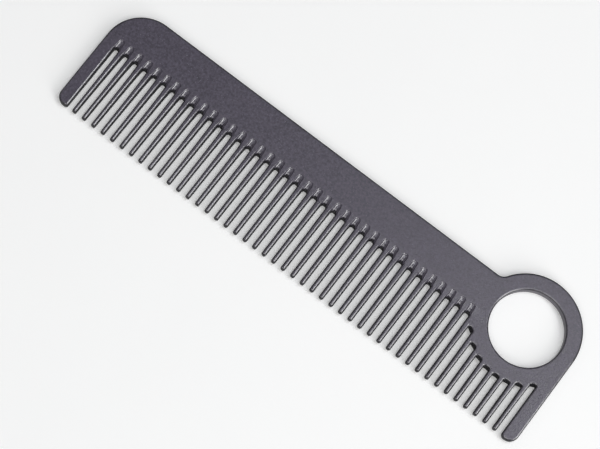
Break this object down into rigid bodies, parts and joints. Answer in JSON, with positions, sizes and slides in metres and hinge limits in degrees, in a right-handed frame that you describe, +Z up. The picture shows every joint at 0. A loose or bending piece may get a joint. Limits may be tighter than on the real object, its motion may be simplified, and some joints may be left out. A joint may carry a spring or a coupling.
{
  "type": "beard comb",
  "caption": "Flat moulded beard comb with fine round-tipped teeth, broad guard teeth at both ends and a finger ring at one end of its spine.",
  "frame": {"origin": "under the middle of the comb's box, on the surface that it lies on", "axes": "+X along the comb from the plain end to the ring end, +Y towards the spine edge with the teeth pointing to -Y, +Z up through the thickness"},
  "size_m": [0.139, 0.0388, 0.0032],
  "materials": {
    "comb_plastic": "charcoal grey fibre-filled moulding with a fine satin grain"
  },
  "bodies": {
    "root": {"back": "comb_plastic", "finger_ring": "comb_plastic", "plain_guard": "comb_plastic", "ring_guard": "comb_plastic", "tooth_01": "comb_plastic", "tooth_02": "comb_plastic", "tooth_03": "comb_plastic", "tooth_04": "comb_plastic", "tooth_05": "comb_plastic", "tooth_06": "comb_plastic", "tooth_07": "comb_plastic", "tooth_08": "comb_plastic", "tooth_09": "comb_plastic", "tooth_10": "comb_plastic", "tooth_11": "comb_plastic", "tooth_12": "comb_plastic", "tooth_13": "comb_plastic", "tooth_14": "comb_plastic", "tooth_15": "comb_plastic", "tooth_16": "comb_plastic", "tooth_17": "comb_plastic", "tooth_18": "comb_plastic", "tooth_19": "comb_plastic", "tooth_20": "comb_plastic", "tooth_21": "comb_plastic", "tooth_22": "comb_plastic", "tooth_23": "comb_plastic", "tooth_24": "comb_plastic", "tooth_25": "comb_plastic", "tooth_26": "comb_plastic", "tooth_27": "comb_plastic", "tooth_28": "comb_plastic", "tooth_29": "comb_plastic", "tooth_30": "comb_plastic", "tooth_31": "comb_plastic", "tooth_32": "comb_plastic", "tooth_33": "comb_plastic", "tooth_34": "comb_plastic", "tooth_35": "comb_plastic", "tooth_36": "comb_plastic", "tooth_37": "comb_plastic", "tooth_38": "comb_plastic", "tooth_39": "comb_plastic", "tooth_40": "comb_plastic", "tooth_41": "comb_plastic", "tooth_42": "comb_plastic", "tooth_43": "comb_plastic", "tooth_44": "comb_plastic", "tooth_45": "comb_plastic"}
  },
  "joints": []
}
